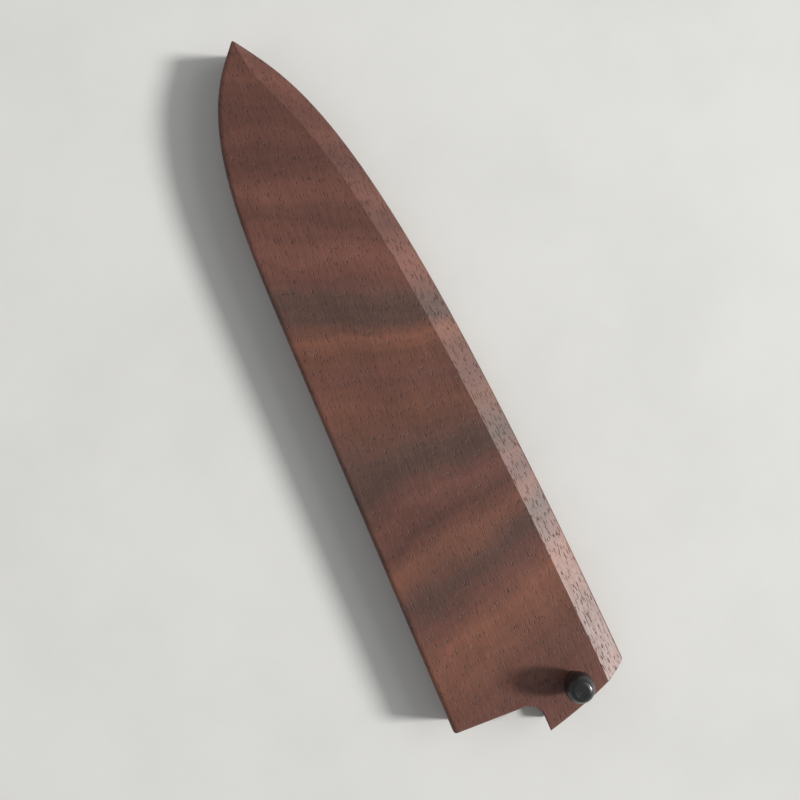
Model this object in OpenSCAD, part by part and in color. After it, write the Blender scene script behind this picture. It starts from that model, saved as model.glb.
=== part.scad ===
// Wooden sheath for a chef's knife blade: two glued halves and a turned retaining pin.
// It lies on its back face. X runs across the blade from its spine to its cutting edge,
// Y runs along the blade to the tip, and Z points out of the front face.

/* [Outline] */
// Length from the point at the mouth to the tip
sheath_l = 239; // [215:1:270]
// Width over both long sides
sheath_w = 58.6; // [54:0.2:66]
// Thickness over both faces
sheath_t = 13; // [11.5:0.5:18]
// Distance of the tip from the spine side
tip_inset = 21.1; // [16:0.1:27]
// Radius of the tip, seen from above
tip_r = 1; // [0.6:0.1:2]
// Length over which the spine side curves in to the tip
spine_curve_l = 93; // [70:1:110]
// Angle at which the spine side meets the tip, from straight across
spine_tip_angle = 42; // [36:1:48]
// Angle at which the cutting-edge side meets the tip, from straight across
edge_tip_angle = 50; // [44:1:56]
// Length of the rounded nose on the cutting-edge side
edge_nose_l = 29; // [22:1:34]
// How far the cutting-edge side leans in before its nose
edge_lean = 5.6; // [3:0.1:8]

/* [Edges] */
// Width of the bevel along the cutting-edge side
bevel_w = 7.3; // [5:0.1:9]
// Depth of the bevel below the face
bevel_drop = 3.6; // [2:0.1:4]
// Swelling of the bevel near the tip
bevel_crown = 0.3; // [0:0.05:0.4]
// Rounding between the bevel and the narrow side
edge_r = 0.9; // [0.5:0.1:1.2]
// Rounding along the spine side
spine_r = 1.7; // [1:0.1:2.5]
// Size of the broken edge round the mouth
mouth_break = 0.4; // [0.2:0.05:0.6]

/* [Mouth] */
// Length of the pointed finger beyond the mouth
finger_l = 10.8; // [9:0.1:13]
// Distance of the finger's inner wall from the spine side
finger_inset = 28.6; // [25:0.1:32]
// Radius in the corner between the mouth and the finger
notch_r = 5.3; // [3:0.1:7]
// How far the mouth slants down towards the finger
mouth_slant = 0.7; // [0:0.1:1.2]
// Radius of the corner between the mouth and the spine side
spine_corner_r = 1.3; // [0.8:0.1:3]
// Height of the corner on the cutting-edge side above the point
heel_rise = 11.9; // [10:0.1:14]
// Radius of the corner on the cutting-edge side
heel_corner_r = 1.8; // [1:0.1:3]
// Slope of the finger's lower edge at its point
finger_slope = 14; // [10:1:18]
// Slope of the finger's lower edge at the cutting-edge side
heel_slope = 30; // [26:1:36]

/* [Blade pocket] */
// Thickness of the pocket
pocket_t = 4.6; // [4.2:0.1:5]
// Wood left round the pocket
pocket_wall = 5; // [4:0.1:7]
// Radius at the pocket's blind end
pocket_end_r = 1.5; // [1:0.1:3]

/* [Retaining pin] */
// Distance of the pin from the spine side
pin_inset = 41.8; // [38:0.1:44]
// Height of the pin's centre above the finger's point
pin_rise = 11.5; // [10.5:0.1:13]
// Radius of the pin's shank
shank_r = 2.5; // [2:0.1:3]
// Clearance between the shank and its hole
shank_clearance = 0.05; // [0.02:0.01:0.1]
// Gap between the pin's end and the back face
end_gap = 0.5; // [0.2:0.1:1.5]
// Bevel on the pin's end
end_bevel = 0.6; // [0.2:0.1:1]
// Radius of the head where it sits on the face
neck_r = 3.2; // [3.1:0.05:3.8]
// Radius of the head at its widest
head_r = 4.7; // [4.2:0.1:5.5]
// Radius of the flat top
top_r = 2.15; // [1.5:0.05:3]
// Height of the head's widest place above the face
head_belly_h = 5.8; // [4:0.1:7]
// Height of the head above the face
head_h = 10.9; // [9:0.1:14]

/* [Hidden] */
walnut = "#6d4a3c";
walnut_back = "#5f3f33";
ebony = "#1d1e20";
$fn = 64;

// Points along each long side, round each small corner, and up each rounded edge
side_steps = 40;
arc_steps = 8;
round_steps = 4;
// How far a cutting shape runs past what it cuts, and past a broken edge
past = 2;
edge_margin = 0.3;

half_t = sheath_t / 2;
spine_x = -sheath_w / 2;
edge_x = sheath_w / 2;
point_y = -sheath_l / 2;
mouth_y = point_y + finger_l;
heel_y = point_y + heel_rise;
tip_centre = [spine_x + tip_inset, sheath_l / 2 - tip_r];
blank_y = point_y - past;
finger_x = spine_x + finger_inset;
pin_x = spine_x + pin_inset;
pin_y = point_y + pin_rise;

function unit(v) = v / norm(v);
function mix(a, b, t) = a + (b - a) * t;
function on_circle(c, r, a) = c + r * [cos(a), sin(a)];
function turned(v) = [v.y, -v.x];
function side_by_side(a, b) = a.x * b.y - a.y * b.x;

// A cubic curve through p[0] and p[3], and its direction
function curve(p, t) =
    pow(1 - t, 3) * p[0] + 3 * pow(1 - t, 2) * t * p[1] + 3 * (1 - t) * t * t * p[2] + pow(t, 3) * p[3];
function curve_dir(p, t) =
    unit(pow(1 - t, 2) * (p[1] - p[0]) + 2 * (1 - t) * t * (p[2] - p[1]) + t * t * (p[3] - p[2]));

// The smaller of two lengths, with a smooth change from one to the other
function smaller(a, b) = a * b / pow(pow(a, 4) + pow(b, 4), 1 / 4);

// The spine side: straight, then a curve that meets the tip's circle
spine_end = on_circle(tip_centre, tip_r, 90 + spine_tip_angle);
spine_handle_y = spine_end.y - (spine_end.x - spine_x) * tan(spine_tip_angle);
spine_start_y = spine_end.y - spine_curve_l;
spine_curve = [
    [spine_x, spine_start_y],
    [spine_x, mix(spine_start_y, spine_handle_y, 0.54)],
    [spine_x, spine_handle_y],
    spine_end
];

// The cutting-edge side: one long curve from the corner at the mouth to the tip's circle
edge_end = on_circle(tip_centre, tip_r, 90 - edge_tip_angle);
edge_curve = [
    [edge_x, heel_y],
    [edge_x - edge_lean, mix(heel_y, edge_end.y, 0.73)],
    edge_end + edge_nose_l * [cos(edge_tip_angle), -sin(edge_tip_angle)],
    edge_end
];

// Each side as a list of points, each with the direction that points into the wood.
// The last few points of both sides go round the tip.
tip_turns = [for (i = [1:arc_steps]) i / (arc_steps + 0.6)];
edge_side = concat(
    [[[edge_x, blank_y], [-1, 0]]],
    [for (i = [0:side_steps]) let (t = i / side_steps) [curve(edge_curve, t), -turned(curve_dir(edge_curve, t))]],
    [for (s = tip_turns) let (a = mix(90 - edge_tip_angle, 90, s)) [on_circle(tip_centre, tip_r, a), -[cos(a), sin(a)]]]
);
spine_side = concat(
    [[[spine_x, blank_y], [1, 0]]],
    [for (i = [0:side_steps]) spine_place(curve(edge_curve, i / side_steps).y)],
    [for (s = tip_turns) let (a = mix(90 + spine_tip_angle, 90, s)) [on_circle(tip_centre, tip_r, a), -[cos(a), sin(a)]]]
);
function spine_place(y) =
    y < spine_start_y
        ? [[spine_x, y], [1, 0]]
        : let (t = (y - spine_start_y) / (edge_end.y - spine_start_y)) [curve(spine_curve, t), turned(curve_dir(spine_curve, t))];

// Rounded edge of the spine side, as [distance in from the side, height above the seam]
function spine_profile(r) = concat(
    [[0, 0]],
    [for (i = [0:round_steps]) let (a = 90 * i / round_steps) [r * (1 - cos(a)), half_t - r * (1 - sin(a))]]
);

// Bevelled edge of the cutting-edge side, in the same form
function edge_profile(w, drop, crown, r) =
    let (
        slope = atan2(drop, w),
        reach = r * (1 - sin(slope)),
        top = half_t - drop - r * cos(slope) + reach * tan(slope)
    )
    concat(
        [[0, 0]],
        [for (i = [0:round_steps]) let (a = (90 - slope) * i / round_steps) [r * (1 - cos(a)), top + r * sin(a)]],
        [[w / 2, half_t - drop / 2 + crown]],
        [[w, half_t]]
    );

// One cross section of the blank, from the spine side's seam over the face to the other seam
function cross_section(i) =
    let (
        s = spine_side[i],
        e = edge_side[i],
        width = norm(e[0] - s[0]),
        w = smaller(bevel_w, width * 0.52),
        near_tip = 1 - min(1, width / (sheath_w * 0.75)),
        drop = bevel_drop * sqrt(w / bevel_w),
        left = spine_profile(smaller(spine_r, width * 0.28)),
        crown = bevel_crown * near_tip * drop / bevel_drop,
        right = edge_profile(w, drop, crown, smaller(edge_r, width * 0.2))
    )
    concat(
        [for (q = left) let (p = s[0] + q.x * s[1]) [p.x, p.y, q.y]],
        [for (k = [len(right) - 1:-1:0]) let (q = right[k], p = e[0] + q.x * e[1]) [p.x, p.y, q.y]]
    );

// A solid skinned over a row of cross sections that have the same number of points
module skin(rows) {
    n = len(rows[0]);
    last = len(rows) - 1;
    points = [for (row = rows) each row];
    sides = [
        for (i = [0:last - 1], k = [0:n - 1])
            let (a = i * n + k, b = i * n + (k + 1) % n)
                each [[a, a + n, b], [b, a + n, b + n]]
    ];
    first_cap = [for (k = [1:n - 2]) [0, k, k + 1]];
    last_cap = [for (k = [1:n - 2]) [last * n, last * n + k + 1, last * n + k]];
    polyhedron(points = points, faces = concat(sides, first_cap, last_cap));
}

// The mouth's line from the spine side to the finger's point and on to the cutting-edge side
function crossing(p, a, q, b) =
    let (da = [cos(a), sin(a)], db = [cos(b), sin(b)])
    p + da * side_by_side(q - p, db) / side_by_side(da, db);
finger_point = [finger_x, point_y];
heel_end = on_circle([edge_x - heel_corner_r, heel_y], heel_corner_r, heel_slope - 90);
heel_handle = crossing(finger_point, finger_slope, heel_end, heel_slope);
notch_y = mouth_y - mouth_slant;
mouth_line = concat(
    [for (i = [0:arc_steps]) on_circle([spine_x, mouth_y] + spine_corner_r * [1, 1], spine_corner_r, 180 + 90 * i / arc_steps)],
    [for (i = [0:arc_steps]) on_circle([finger_x, notch_y] - notch_r * [1, 1], notch_r, 90 - 90 * i / arc_steps)],
    [for (i = [0:arc_steps]) let (t = i / arc_steps) mix(mix(finger_point, heel_handle, t), mix(heel_handle, heel_end, t), t)],
    [for (i = [1:arc_steps]) on_circle([edge_x - heel_corner_r, heel_y], heel_corner_r, mix(heel_slope - 90, 0, i / arc_steps))]
);

// The direction out of the wood at each point of the mouth's line, longer at a sharp corner
function mouth_way(i) =
    let (
        before = mouth_line[max(i - 1, 0)],
        after = mouth_line[min(i + 1, len(mouth_line) - 1)],
        a = unit(i > 0 ? mouth_line[i] - before : after - mouth_line[i]),
        b = unit(after != mouth_line[i] ? after - mouth_line[i] : mouth_line[i] - before),
        n = unit(turned(a + b))
    )
    n / (n * turned(a));

// The broken edge between the face and the mouth: a strip swept along the mouth's line
module mouth_edge() {
    reach = mouth_break + edge_margin;
    skin([
        for (i = [0:len(mouth_line) - 1])
            let (p = mouth_line[i], n = mouth_way(i))
                [for (q = [[edge_margin, edge_margin], [edge_margin, -reach], [-reach, edge_margin]])
                    [p.x + q.x * n.x, p.y + q.x * n.y, half_t + q.y]]
    ]);
}

// Everything beyond the mouth's line
module mouth_waste() {
    translate([0, 0, -past])
        linear_extrude(half_t + 2 * past)
            polygon(concat(
                [[spine_x - past, blank_y - past], [spine_x - past, mouth_line[0].y]],
                mouth_line,
                [[edge_x + past, heel_y], [edge_x + past, blank_y - past]]
            ));
}

// The pocket in one half: the sheath's outline less the wood round it, open at the mouth
module half_pocket() {
    translate([0, 0, -past])
        linear_extrude(past + pocket_t / 2)
            offset(r = pocket_end_r)
                offset(delta = -pocket_wall - pocket_end_r)
                    polygon(concat(
                        [[spine_x, blank_y - 2 * pocket_wall]],
                        [for (p = spine_side) p[0]],
                        [for (i = [len(edge_side) - 1:-1:0]) edge_side[i][0]],
                        [[edge_x, blank_y - 2 * pocket_wall]]
                    ));
}

module pin_hole() {
    translate([pin_x, pin_y, -past])
        cylinder(r = shank_r + shank_clearance, h = half_t + 2 * past);
}

// One half of the sheath, with its seam at z = 0 and its face upwards
module sheath_half() {
    difference() {
        skin([for (i = [0:len(edge_side) - 1]) cross_section(i)]);
        half_pocket();
        mouth_waste();
        mouth_edge();
        pin_hole();
    }
}

module front_half() {
    color(walnut)
        translate([0, 0, half_t])
            sheath_half();
}

module back_half() {
    color(walnut_back)
        translate([0, 0, half_t])
            mirror([0, 0, 1])
                sheath_half();
}

// The pin is turned in one piece: a bevelled end, a straight shank, a neck that swells in
// an even curve to the belly, and a rounded shoulder up to the flat top
module retaining_pin() {
    neck = [for (i = [0:arc_steps]) let (t = i / arc_steps)
        [mix(neck_r, head_r, (1 - cos(180 * t)) / 2), sheath_t + head_belly_h * t]];
    shoulder = [for (i = [1:arc_steps]) let (a = 90 * i / arc_steps)
        [mix(head_r, top_r, 1 - cos(a)), sheath_t + mix(head_belly_h, head_h, sin(a))]];
    color(ebony)
        translate([pin_x, pin_y, 0])
            rotate_extrude()
                polygon(concat(
                    [[0, end_gap], [shank_r - end_bevel, end_gap], [shank_r, end_gap + end_bevel], [shank_r, sheath_t]],
                    neck,
                    shoulder,
                    [[0, sheath_t + head_h]]
                ));
}

front_half();
back_half();
retaining_pin();
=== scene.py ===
"""Looks for a walnut knife sheath with an ebony retaining pin, laid out as an add-on and run as a script."""
import math

import bpy
from bpy.props import FloatProperty, FloatVectorProperty, PointerProperty
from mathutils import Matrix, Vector


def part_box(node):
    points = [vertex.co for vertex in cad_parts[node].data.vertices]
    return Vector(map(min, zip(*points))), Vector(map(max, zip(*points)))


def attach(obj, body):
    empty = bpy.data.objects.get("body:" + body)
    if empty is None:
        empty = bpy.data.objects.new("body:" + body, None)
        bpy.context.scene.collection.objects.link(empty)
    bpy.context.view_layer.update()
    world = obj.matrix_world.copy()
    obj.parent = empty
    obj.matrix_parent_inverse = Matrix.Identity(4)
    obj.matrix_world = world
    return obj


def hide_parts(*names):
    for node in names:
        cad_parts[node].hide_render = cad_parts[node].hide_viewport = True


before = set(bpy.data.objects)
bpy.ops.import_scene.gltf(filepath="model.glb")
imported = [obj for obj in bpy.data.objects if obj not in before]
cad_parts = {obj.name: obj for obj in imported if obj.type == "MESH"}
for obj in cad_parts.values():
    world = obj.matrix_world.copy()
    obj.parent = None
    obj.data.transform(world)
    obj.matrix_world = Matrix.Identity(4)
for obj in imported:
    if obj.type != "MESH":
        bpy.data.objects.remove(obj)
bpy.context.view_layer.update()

bl_info = {
    "name": "Knife Sheath",
    "version": (1, 0, 0),
    "blender": (4, 5, 0),
    "location": "3D View > Sidebar > Sheath",
    "description": "Finishes a walnut knife sheath, turns its pin and sets its stage",
    "category": "Object",
}

MM = 0.001
HALVES = ("front_half", "back_half")
FRONT_LOW, FRONT_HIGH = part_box("front_half")
PIN_LOW, PIN_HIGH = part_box("retaining_pin")
FACE_Z = FRONT_HIGH.z
SEAM_Z = FRONT_LOW.z
PIN_X = (PIN_LOW.x + PIN_HIGH.x) / 2
PIN_Y = (PIN_LOW.y + PIN_HIGH.y) / 2
HEAD_RADIUS = (PIN_HIGH.x - PIN_LOW.x) / 2

# The photograph is taken straight down, with the tip leaning this far left of straight up
LEAN = math.radians(23)
IMAGE_RIGHT = Vector((math.cos(LEAN), -math.sin(LEAN), 0))


class SheathSizes(bpy.types.PropertyGroup):
    walnut_dark: FloatVectorProperty(
        name="Dark walnut", description="Colour of the dark figure", subtype="COLOR", size=3,
        default=(0.062, 0.030, 0.022))
    walnut_mid: FloatVectorProperty(
        name="Walnut", description="Main colour of the wood", subtype="COLOR", size=3,
        default=(0.125, 0.048, 0.034))
    walnut_warm: FloatVectorProperty(
        name="Warm walnut", description="Colour of the orange bands", subtype="COLOR", size=3,
        default=(0.195, 0.074, 0.045))
    band_wander: FloatProperty(
        name="Band wander", description="How far the bands stray along the wood", default=22.0 * MM, min=0.0,
        unit="LENGTH")


class PinSizes(bpy.types.PropertyGroup):
    ebony: FloatVectorProperty(
        name="Ebony", description="Colour of the pin", subtype="COLOR", size=3,
        default=(0.012, 0.013, 0.015))
    ebony_fibre: FloatVectorProperty(
        name="Ebony fibre", description="Colour of the pin's few brown fibres", subtype="COLOR", size=3,
        default=(0.030, 0.024, 0.020))
    shank_radius: FloatProperty(
        name="Shank radius", description="Radius of the straight shank", default=2.5 * MM, unit="LENGTH")
    end_bevel: FloatProperty(
        name="End bevel", description="Bevel round the shank's end", default=0.6 * MM, unit="LENGTH")
    neck_radius: FloatProperty(
        name="Neck radius", description="Radius where the head meets the face", default=3.2 * MM,
        unit="LENGTH")
    belly_height: FloatProperty(
        name="Belly height", description="Height of the widest place above the face", default=5.8 * MM,
        unit="LENGTH")
    top_radius: FloatProperty(
        name="Top radius", description="Radius of the flat top", default=2.15 * MM, unit="LENGTH")
    groove: FloatProperty(
        name="Groove", description="Depth and half width of each lathe ring cut in the top",
        default=0.05 * MM, unit="LENGTH")


class StageSizes(bpy.types.PropertyGroup):
    floor_colour: FloatVectorProperty(
        name="Floor", description="Colour of the worktop", subtype="COLOR", size=3,
        default=(0.700, 0.700, 0.675))
    camera_height: FloatProperty(
        name="Camera height", description="Height of the camera over the face", default=285 * MM,
        unit="LENGTH")
    window_elevation: FloatProperty(
        name="Window elevation", description="Height of the window in the sky",
        default=math.radians(29), unit="ROTATION")


class Sock:
    """A socket in a node tree that can be used in sums."""

    def __init__(self, build, socket):
        self.build = build
        self.socket = socket

    def math(self, operation, *values):
        return self.build.node("ShaderNodeMath", {"operation": operation}, dict(enumerate(values)))

    def __add__(self, other):
        return self.math("ADD", self, other)

    def __radd__(self, other):
        return self.math("ADD", other, self)

    def __sub__(self, other):
        return self.math("SUBTRACT", self, other)

    def __rsub__(self, other):
        return self.math("SUBTRACT", other, self)

    def __mul__(self, other):
        return self.math("MULTIPLY", self, other)

    def __rmul__(self, other):
        return self.math("MULTIPLY", other, self)

    def __truediv__(self, other):
        return self.math("DIVIDE", self, other)

    def __rtruediv__(self, other):
        return self.math("DIVIDE", other, self)

    def __abs__(self):
        return self.math("ABSOLUTE", self)

    def __pow__(self, power):
        return self.math("POWER", self, power)

    def sine(self):
        return self.math("SINE", self)


class Finish:
    """A material being built: node() adds any node, and the rest are short ways to the usual ones."""

    def __init__(self, name):
        self.material = bpy.data.materials.new(name)
        self.material.use_nodes = True
        self.tree = self.material.node_tree
        self.shader = self.tree.nodes["Principled BSDF"]

    def node(self, kind, settings=None, inputs=None, output=0):
        made = self.tree.nodes.new(kind)
        for name, value in (settings or {}).items():
            if name == "stops":
                self.set_stops(made.color_ramp, value)
            else:
                setattr(made, name, value)
        for name, value in (inputs or {}).items():
            self.put(made.inputs[name], value)
        return Sock(self, made.outputs[output])

    def set_stops(self, ramp, stops):
        while len(ramp.elements) < len(stops):
            ramp.elements.new(0.5)
        for element, (position, colour) in zip(ramp.elements, stops):
            element.position = position
            element.color = opaque(colour)

    def put(self, target, value):
        if isinstance(value, Sock):
            self.tree.links.new(value.socket, target)
        else:
            target.default_value = value

    def set(self, **values):
        """Shader sockets by name, with an underscore for each space."""
        for name, value in values.items():
            self.put(self.shader.inputs[name.replace("_", " ")], value)

    def place(self):
        """Object coordinates in millimetres, as a vector and as its three numbers."""
        at = self.node("ShaderNodeTexCoord", output="Object")
        vector = self.node("ShaderNodeVectorMath", {"operation": "SCALE"}, {0: at, "Scale": 1 / MM})
        parts = self.node("ShaderNodeSeparateXYZ", inputs={0: vector}).socket.node.outputs
        return vector, [Sock(self, part) for part in parts]

    def noise(self, vector, size, detail, roughness, shift=0.0):
        """Noise from 0 to 1 whose features have a size across, along and through the wood."""
        scaled = self.node(
            "ShaderNodeMapping", {"vector_type": "POINT"},
            {"Vector": vector, "Location": (shift, shift, shift), "Scale": [1 / length for length in size]})
        return self.node(
            "ShaderNodeTexNoise", {"noise_dimensions": "3D"},
            {"Vector": scaled, "Scale": 1.0, "Detail": detail, "Roughness": roughness})

    def sway(self, *noise_values):
        """The same noise, swinging about zero."""
        return self.noise(*noise_values) - 0.5

    def step(self, value, low, high, to_low=0.0, to_high=1.0):
        return self.node(
            "ShaderNodeMapRange", {"interpolation_type": "SMOOTHSTEP"},
            {"Value": value, "From Min": low, "From Max": high, "To Min": to_low, "To Max": to_high})

    def mixed(self, factor, a, b, blend="MIX"):
        """Two colours mixed: 0, 6 and 7 are the node's sockets for a factor and colours, and 2 its colour."""
        return self.node(
            "ShaderNodeMix", {"data_type": "RGBA", "blend_type": blend},
            {0: factor, 6: opaque(a), 7: opaque(b)}, output=2)

    def bump(self, height, depth):
        self.set(Normal=self.node(
            "ShaderNodeBump", None, {"Strength": 1.0, "Distance": depth, "Height": height}))


def opaque(colour):
    return colour if isinstance(colour, Sock) else (*colour, 1)


def shade(colour, share):
    return tuple(channel * share for channel in colour)


def figure_bands(sizes):
    """Bands of the figure, each with its place along the wood in millimetres, its colour and its share."""
    dark, mid, warm = sizes.walnut_dark, sizes.walnut_mid, sizes.walnut_warm
    return [
        (-118, mid, 1.15), (-100, mid, 1.0), (-88, warm, 0.85), (-78, warm, 1.0), (-70, mid, 1.1),
        (-60, dark, 1.4), (-52, warm, 0.9), (-44, mid, 0.8), (-36, mid, 1.1), (-27, dark, 1.2),
        (-20, dark, 1.5), (-10, warm, 0.75), (0, mid, 1.0), (9, warm, 0.7), (15, warm, 0.9),
        (22, dark, 1.3), (31, dark, 1.5), (38, mid, 1.1), (46, mid, 1.3), (55, mid, 0.85),
        (63, mid, 1.15), (73, mid, 0.75), (82, mid, 1.0), (92, mid, 0.8), (104, mid, 1.05),
        (118, mid, 0.8),
    ]


def walnut(name, sizes, shift):
    """Oiled walnut: bands of figure across the wood, fibres and pores along it, a glue line at the seam."""
    f = Finish(name)
    at, (x, y, z) = f.place()
    dark = sizes.walnut_dark

    # The bands lean one way near the mouth and the other way near the tip
    mouth_y, mouth_lean = -70, -0.42
    tip_y, tip_lean = 25, 0.38
    ripple_reach = 4
    lean = f.step(y, mouth_y, tip_y, mouth_lean, tip_lean)
    wander = f.sway(at, (42, 34, 42), 3, 0.55, shift)
    ripple = f.sway(at, (11, 7, 11), 2, 0.5, shift + 5)
    band = y + x * lean + wander * (sizes.band_wander / MM) + ripple * ripple_reach

    # The ramp runs a little past both ends of the sheath
    ramp_start, ramp_length = -125.0, 250.0
    stops = [((place - ramp_start) / ramp_length, shade(colour, share))
             for place, colour, share in figure_bands(sizes)]
    colour = f.node("ShaderNodeValToRGB", {"stops": stops}, {0: (band - ramp_start) / ramp_length})

    # Growth lines that follow the bands, fibres along the wood and a slow change of tone
    fine_line, broad_line, line_ripple = 1.35, 0.62, 3
    line_tone, fibre_tone, cloud_tone = 0.07, 0.55, 0.5
    line = ((band * fine_line + ripple * line_ripple).sine() + (band * broad_line).sine()) / 2
    fibre = f.sway(at, (0.7, 9, 0.7), 4, 0.6, shift)
    cloud = f.sway(at, (16, 26, 16), 2, 0.5, shift + 11)
    tone = 1.0 + line * line_tone + fibre * fibre_tone + cloud * cloud_tone
    grey = f.node("ShaderNodeCombineColor", None, {0: tone, 1: tone, 2: tone})
    colour = f.mixed(1.0, colour, grey, "MULTIPLY")

    # Pores: short dark strokes along the fibre, where a fine noise is high
    pore_from, pore_full = 0.60, 0.70
    pore = f.step(f.noise(at, (0.42, 2.4, 0.42), 1, 0.5, shift + 3), pore_from, pore_full)
    colour = f.mixed(pore * 0.62, colour, shade(dark, 0.45))

    # The glue line between the halves, by its distance from the seam in millimetres
    seam_core, seam_edge = 0.05, 0.16
    seam = f.step(abs(z - SEAM_Z / MM), seam_core, seam_edge, 1, 0)
    colour = f.mixed(seam * 0.7, colour, shade(dark, 0.4))

    f.set(Base_Color=colour, Roughness=0.47 + fibre * 0.25 + pore * 0.2,
          Specular_IOR_Level=0.45, Coat_Weight=0.12 - pore * 0.1, Coat_Roughness=0.42)
    f.bump(fibre * 0.35 - pore * 0.8 - seam * 0.6, 0.12 * MM)
    return f.material


def ebony(name, sizes):
    """Turned ebony: nearly black, with faint lathe rings and a few brown fibres."""
    f = Finish(name)
    at, (x, y, z) = f.place()
    across = x - PIN_X / MM
    along = y - PIN_Y / MM
    radius = (across * across + along * along) ** 0.5
    rings_outward, rings_upward = 22, 14
    rings = (radius * rings_outward + z * rings_upward).sine()
    fibre = f.noise(at, (0.25, 0.25, 3.5), 3, 0.6)
    colour = f.mixed(f.step(fibre, 0.52, 0.72), sizes.ebony, sizes.ebony_fibre)
    f.set(Base_Color=colour, Roughness=0.30 + (fibre - 0.5) * 0.2, Specular_IOR_Level=0.6)
    f.bump(rings * 0.12 + (fibre - 0.5) * 0.35, 0.08 * MM)
    return f.material


def pale_worktop(name, floor_colour):
    """A pale matt worktop with a faint mottle."""
    f = Finish(name)
    at, _ = f.place()
    cloud = f.noise(at, (60, 60, 60), 4, 0.6)
    colour = f.mixed(f.step(cloud, 0.35, 0.7), shade(floor_colour, 1.02), shade(floor_colour, 0.97))
    f.set(Base_Color=colour, Roughness=0.6, Specular_IOR_Level=0.3)
    return f.material


def select_none():
    if bpy.context.object and bpy.context.object.mode != "OBJECT":
        bpy.ops.object.mode_set(mode="OBJECT")
    bpy.ops.object.select_all(action="DESELECT")


def turn(name, centre, profile, sides=72):
    """A turned piece: a disc is extruded up and scaled to each radius and height of its profile."""
    select_none()
    radius, height = profile[0]
    x, y = centre
    bpy.ops.mesh.primitive_circle_add(
        vertices=sides, radius=radius, fill_type="NGON", location=(x, y, height))
    piece = bpy.context.object
    piece.name = name
    bpy.ops.object.transform_apply(location=True, rotation=True, scale=True)
    bpy.ops.object.mode_set(mode="EDIT")
    bpy.ops.mesh.select_all(action="SELECT")
    for next_radius, next_height in profile[1:]:
        bpy.ops.mesh.extrude_region_move(TRANSFORM_OT_translate={"value": (0, 0, next_height - height)})
        grow = next_radius / radius
        bpy.ops.transform.resize(value=(grow, grow, 1), center_override=(x, y, next_height))
        radius, height = next_radius, next_height
    bpy.ops.mesh.select_all(action="SELECT")
    bpy.ops.mesh.normals_make_consistent(inside=False)
    bpy.ops.object.mode_set(mode="OBJECT")
    return piece


def pin_profile(sizes, steps=14):
    """Radius and height up the pin: bevelled shank, S-shaped neck, round shoulder, rings cut in the top."""
    end, top = PIN_LOW.z, PIN_HIGH.z
    belly = FACE_Z + sizes.belly_height
    shank, neck, crown = sizes.shank_radius, sizes.neck_radius, sizes.top_radius
    profile = [(shank - sizes.end_bevel, end), (shank, end + sizes.end_bevel), (shank, FACE_Z)]
    for i in range(steps + 1):
        swell = (1 - math.cos(math.pi * i / steps)) / 2
        profile.append((neck + (HEAD_RADIUS - neck) * swell, FACE_Z + (belly - FACE_Z) * i / steps))
    for i in range(1, steps + 1):
        turned = math.pi / 2 * i / steps
        profile.append((HEAD_RADIUS + (crown - HEAD_RADIUS) * (1 - math.cos(turned)),
                        belly + (top - belly) * math.sin(turned)))
    groove = sizes.groove
    for ring in (1.75 * MM, 1.15 * MM, 0.6 * MM):
        profile += [(ring + groove, top), (ring, top - groove), (ring - groove, top)]
    return profile


def light(name, kind, direction, distance=0.0, aim=(0, 0, 0)):
    """A light that shines on a point from a direction, and from a distance where that matters."""
    lamp = bpy.data.lights.new(name, kind)
    lamp_object = bpy.data.objects.new(name, lamp)
    bpy.context.scene.collection.objects.link(lamp_object)
    lamp_object.location = Vector(aim) + direction * distance
    lamp_object.rotation_euler = direction.to_track_quat("Z", "Y").to_euler()
    return lamp


def raised(level, elevation):
    """A level direction, tilted up by an angle."""
    return level * math.cos(elevation) + Vector((0, 0, math.sin(elevation)))


class SHEATH_OT_finish_halves(bpy.types.Operator):
    """Finish both glued halves in oiled walnut"""
    bl_idname = "sheath.finish_halves"
    bl_label = "Finish Halves"

    def execute(self, context):
        grain_shift = 17.0
        for number, node in enumerate(HALVES):
            finish = walnut(node + "_walnut", context.scene.sheath_sizes, grain_shift * number)
            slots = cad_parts[node].data.materials
            for slot in range(len(slots)):
                slots[slot] = finish
        return {"FINISHED"}


class SHEATH_OT_turn_pin(bpy.types.Operator):
    """Turn the ebony pin, with its shank, swelling neck, rounded shoulder and ringed flat top"""
    bl_idname = "sheath.turn_pin"
    bl_label = "Turn Pin"

    def execute(self, context):
        sizes = context.scene.pin_sizes
        pin = turn("ebony_pin", (PIN_X, PIN_Y), pin_profile(sizes))
        bpy.ops.object.shade_smooth_by_angle(angle=math.radians(28))
        pin.data.materials.append(ebony("pin_ebony", sizes))
        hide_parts("retaining_pin")
        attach(pin, "pin")
        return {"FINISHED"}


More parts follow.
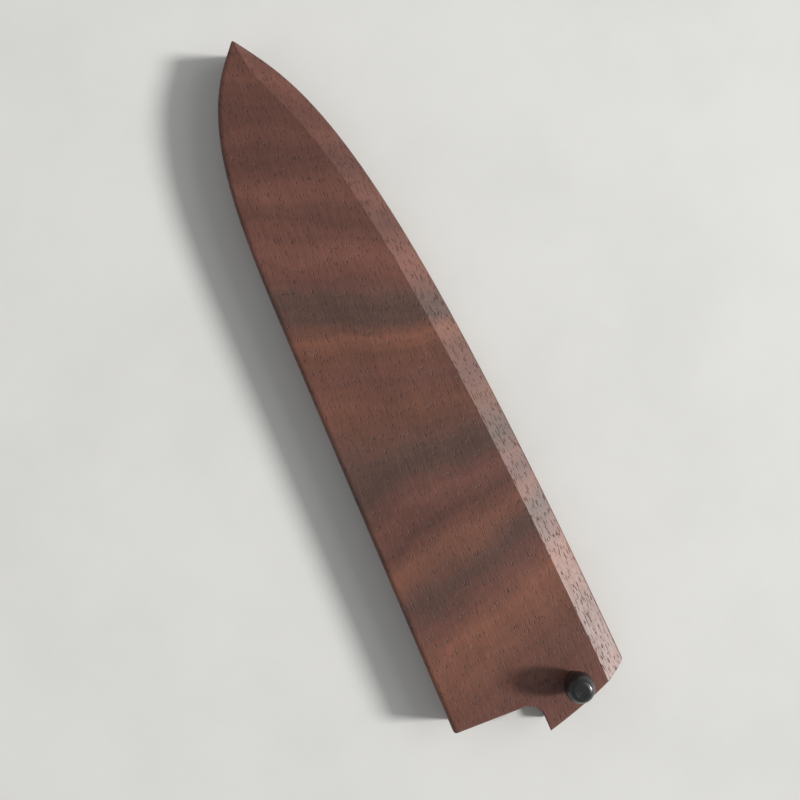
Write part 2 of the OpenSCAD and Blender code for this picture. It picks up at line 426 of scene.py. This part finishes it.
class SHEATH_OT_set_stage(bpy.types.Operator):
    """Set the pale worktop, the window light and the camera straight above"""
    bl_idname = "sheath.set_stage"
    bl_label = "Set Stage"

    def execute(self, context):
        sizes = context.scene.stage_sizes
        self.lay_worktop(sizes)
        self.light_room(context.scene, sizes)
        self.place_camera(context.scene, sizes)
        context.scene.view_settings.view_transform = "Standard"
        return {"FINISHED"}

    def lay_worktop(self, sizes):
        select_none()
        bpy.ops.mesh.primitive_plane_add(size=3, location=(0, 0, 0))
        floor = bpy.context.object
        floor.name = "worktop"
        floor.data.materials.append(pale_worktop("pale_worktop", sizes.floor_colour))

    def light_room(self, scene, sizes):
        """A low window to the right of the picture, a broad pale wall above it and an even room light."""
        window = light("window", "SUN", raised(IMAGE_RIGHT, sizes.window_elevation))
        window.energy = 3.5
        window.angle = math.radians(11)
        window.color = (1.0, 0.985, 0.965)

        wall_bearing = math.radians(-6)
        wall_level = Vector((math.cos(wall_bearing), math.sin(wall_bearing), 0))
        wall_direction = raised(wall_level, math.radians(38))
        wall = light("pale_wall", "AREA", wall_direction, distance=0.9, aim=(0, -0.05, 0))
        wall.shape = "RECTANGLE"
        wall.size = 0.7
        wall.size_y = 0.5
        wall.energy = 2.2

        world = bpy.data.worlds.new("room")
        world.use_nodes = True
        room = world.node_tree.nodes["Background"]
        room.inputs["Color"].default_value = (0.97, 0.98, 1.0, 1)
        room.inputs["Strength"].default_value = 0.33
        scene.world = world

    def place_camera(self, scene, sizes):
        picture_width = 800
        pixels_per_mm = 3.18  # at the sheath's face
        focal_pixels = pixels_per_mm * sizes.camera_height / MM
        picture_centre = Vector((-3.8 * MM, -5.05 * MM, 0))
        camera = bpy.data.cameras.new("camera")
        camera.sensor_width = 36
        camera.lens = focal_pixels * camera.sensor_width / picture_width
        camera.clip_start = 0.01
        camera_object = bpy.data.objects.new("camera", camera)
        scene.collection.objects.link(camera_object)
        camera_object.location = picture_centre + Vector((0, 0, FACE_Z + sizes.camera_height))
        camera_object.rotation_euler = (0, 0, -LEAN)
        scene.camera = camera_object


class SHEATH_PT_panel(bpy.types.Panel):
    """Steps and sizes of the sheath"""
    bl_idname = "SHEATH_PT_panel"
    bl_label = "Knife Sheath"
    bl_space_type = "VIEW_3D"
    bl_region_type = "UI"
    bl_category = "Sheath"

    def draw(self, context):
        for operator in OPERATORS:
            self.layout.operator(operator.bl_idname)
        for group in SIZE_GROUPS:
            sizes = getattr(context.scene, group)
            for name in sizes.bl_rna.properties.keys():
                if name not in ("rna_type", "name"):
                    self.layout.prop(sizes, name)


SIZE_GROUPS = {"sheath_sizes": SheathSizes, "pin_sizes": PinSizes, "stage_sizes": StageSizes}
OPERATORS = (SHEATH_OT_finish_halves, SHEATH_OT_turn_pin, SHEATH_OT_set_stage)
CLASSES = (*SIZE_GROUPS.values(), *OPERATORS, SHEATH_PT_panel)


def register():
    for one in CLASSES:
        bpy.utils.register_class(one)
    for name, group in SIZE_GROUPS.items():
        setattr(bpy.types.Scene, name, PointerProperty(type=group))


def unregister():
    for name in SIZE_GROUPS:
        delattr(bpy.types.Scene, name)
    for one in reversed(CLASSES):
        bpy.utils.unregister_class(one)


def main():
    register()
    bpy.ops.sheath.finish_halves()
    bpy.ops.sheath.turn_pin()
    bpy.ops.sheath.set_stage()


if __name__ == "__main__":
    main()
